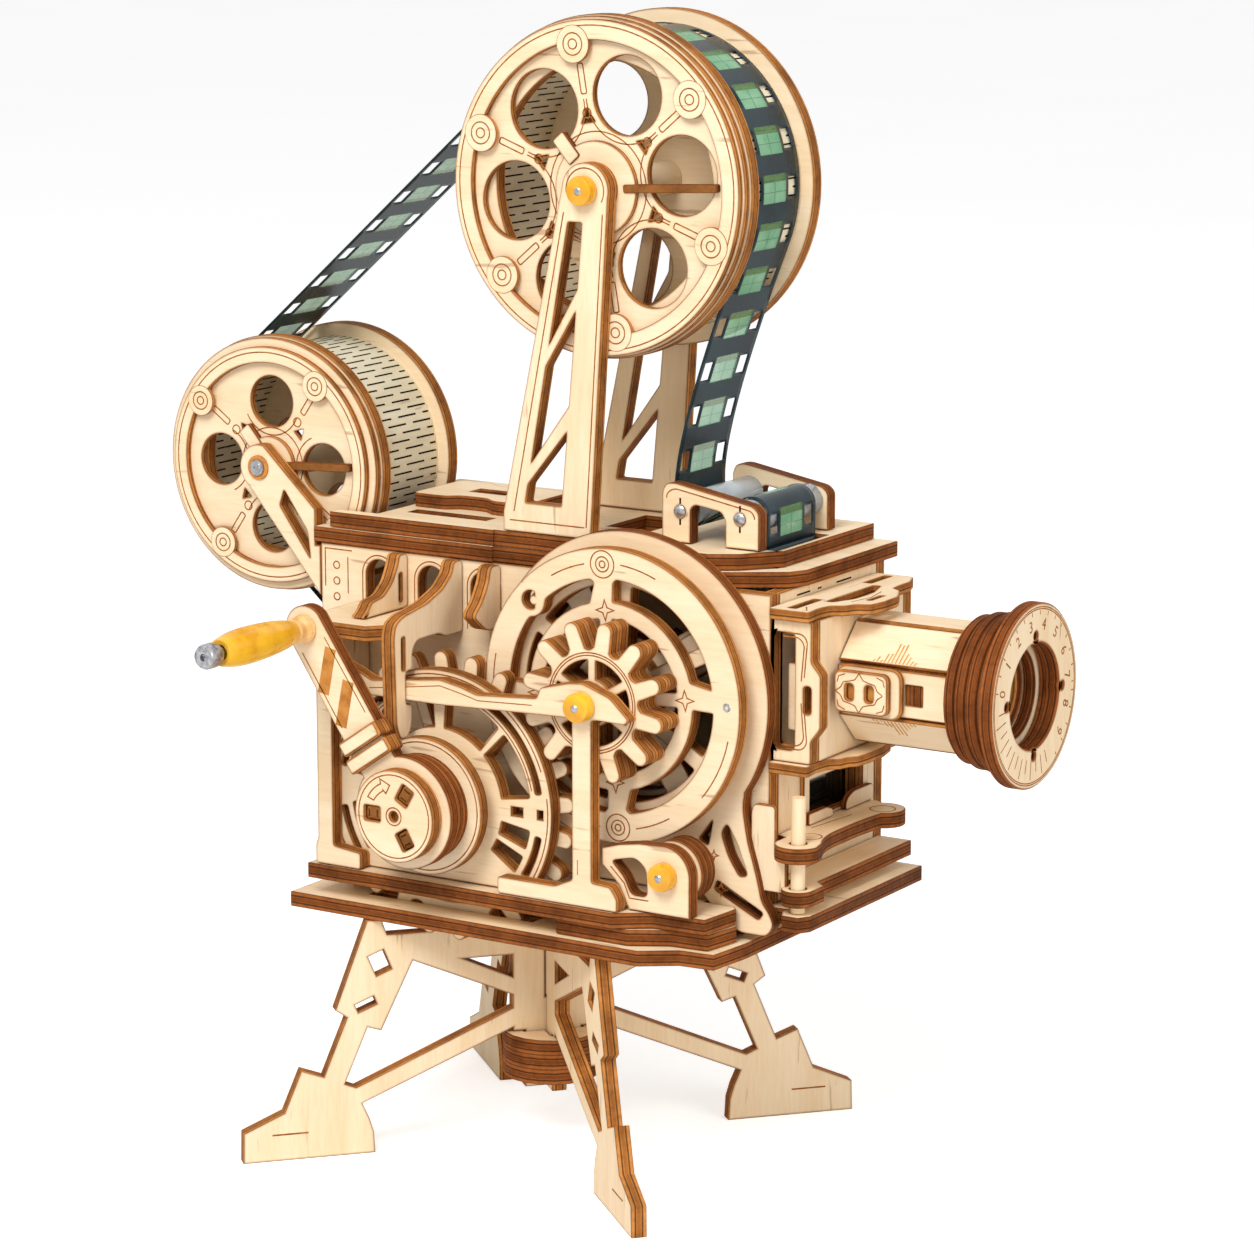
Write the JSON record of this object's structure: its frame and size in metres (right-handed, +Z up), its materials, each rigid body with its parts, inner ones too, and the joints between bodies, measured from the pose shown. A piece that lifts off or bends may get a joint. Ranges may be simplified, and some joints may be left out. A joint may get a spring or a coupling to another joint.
{
  "type": "hand-cranked toy film projector",
  "caption": "Plywood mechanical toy film projector on a four-legged stand, with crank, gears, flywheel, two film reels and a sliding lens.",
  "frame": {"origin": "middle of the footprint, on the surface it stands on", "axes": "+X where the lens points, -Y the crank side, +Z up"},
  "size_m": [0.261, 0.162, 0.3084],
  "materials": {
    "birch_plywood": "bare birch faces with laser-scorched brown edges",
    "scorched_plywood": "stacked edges scorched dark brown, pale front face",
    "yellow_plastic": "glossy yellow",
    "steel": "bright zinc-plated",
    "film_plastic": "glossy dark film with pale green frames",
    "dark_glass": "dark glossy pane",
    "clear_plastic": "clear glossy tube and lens"
  },
  "bodies": {
    "case": {"leg_frame_front": "birch_plywood", "leg_frame_side": "birch_plywood", "stand_collar": "birch_plywood", "deck_lower_sheet": "birch_plywood", "deck_middle_sheet": "birch_plywood", "deck_top_sheet": "birch_plywood", "near_wall": "birch_plywood", "far_wall": "birch_plywood", "front_wall": "birch_plywood", "rear_wall": "birch_plywood", "roof_lower_sheet": "birch_plywood", "roof_upper_sheet": "birch_plywood", "gear_guard": "birch_plywood", "backing_plate": "birch_plywood", "front_frame": "birch_plywood", "crank_shelf": "birch_plywood", "left_cheek": "birch_plywood", "rear_bracket": "birch_plywood", "door_bracket": "birch_plywood", "front_bracket": "birch_plywood", "idler_bracket": "birch_plywood", "near_top_support": "birch_plywood", "far_top_support": "birch_plywood", "near_rear_support": "birch_plywood", "far_rear_support": "birch_plywood", "film_strip": "film_plastic", "near_roller_bracket": "birch_plywood", "far_roller_bracket": "birch_plywood", "lamp_holder": "birch_plywood", "lens_box": "birch_plywood", "lens_upper_flange": "birch_plywood", "lens_lower_flange": "birch_plywood", "lens_barrel": "birch_plywood", "focus_plate": "birch_plywood", "window_glass": "dark_glass", "lens_shelf": "birch_plywood", "lens_side_plate": "birch_plywood", "corner_post": "birch_plywood"},
    "crank": {"crank_shaft": "birch_plywood", "crank_arm": "birch_plywood", "handle_pin": "steel", "drive_gear": "birch_plywood", "film_sprocket": "birch_plywood"},
    "handle": {"handle_grip": "yellow_plastic"},
    "flywheel": {"flywheel_shaft": "birch_plywood", "pinion_gear": "birch_plywood", "flywheel_rim": "birch_plywood", "flywheel_spokes": "birch_plywood", "barrel_shutter": "birch_plywood"},
    "idler": {"idler_wheel": "birch_plywood"},
    "top_reel": {"top_reel_near_flange": "birch_plywood", "top_reel_drum": "birch_plywood", "top_reel_axle": "birch_plywood"},
    "rear_reel": {"rear_reel_near_flange": "birch_plywood", "rear_reel_drum": "birch_plywood", "rear_reel_axle": "birch_plywood"},
    "roller_left": {"left_roller": "clear_plastic"},
    "roller_right": {"right_roller": "clear_plastic"},
    "focus_tube": {"lens_hood": "scorched_plywood", "lens_glass": "clear_plastic"}
  },
  "joints": [
    {"name": "crank_turn", "type": "hinge", "parent": "case", "child": "crank", "pos_m": [-0.01885, 0.01497, 0.101], "axis": [0, 1, 0], "continuous": true},
    {"name": "handle_spin", "type": "hinge", "parent": "crank", "child": "handle", "pos_m": [-0.05025, -0.05953, 0.1472], "axis": [0, 1, 0], "continuous": true},
    {"name": "flywheel_turn", "type": "hinge", "parent": "case", "child": "flywheel", "pos_m": [0.02915, 0.01497, 0.1332], "axis": [0, 1, 0], "continuous": true},
    {"name": "idler_turn", "type": "hinge", "parent": "case", "child": "idler", "pos_m": [0.05155, -0.01003, 0.09], "axis": [0, 1, 0], "continuous": true},
    {"name": "top_reel_turn", "type": "hinge", "parent": "case", "child": "top_reel", "pos_m": [0.01295, 0.02747, 0.2633], "axis": [0, 1, 0], "continuous": true},
    {"name": "rear_reel_turn", "type": "hinge", "parent": "case", "child": "rear_reel", "pos_m": [-0.09445, 0.02747, 0.181], "axis": [0, 1, 0], "continuous": true},
    {"name": "left_roller_turn", "type": "hinge", "parent": "case", "child": "roller_left", "pos_m": [0.03665, 0.02997, 0.1796], "axis": [0, 1, 0], "continuous": true},
    {"name": "right_roller_turn", "type": "hinge", "parent": "case", "child": "roller_right", "pos_m": [0.05485, 0.02997, 0.1792], "axis": [0, 1, 0], "continuous": true},
    {"name": "focus_slide", "type": "slide", "parent": "case", "child": "focus_tube", "axis": [1, 0, 0], "range_m": [0, 0.008]}
  ],
  "couplings": [
    {"joint": "flywheel_turn", "follows": "crank_turn", "ratio": -2},
    {"joint": "top_reel_turn", "follows": "crank_turn", "ratio": 0.3066},
    {"joint": "rear_reel_turn", "follows": "crank_turn", "ratio": 0.3877},
    {"joint": "left_roller_turn", "follows": "crank_turn", "ratio": -2.5714},
    {"joint": "right_roller_turn", "follows": "crank_turn", "ratio": 2.5714}
  ]
}
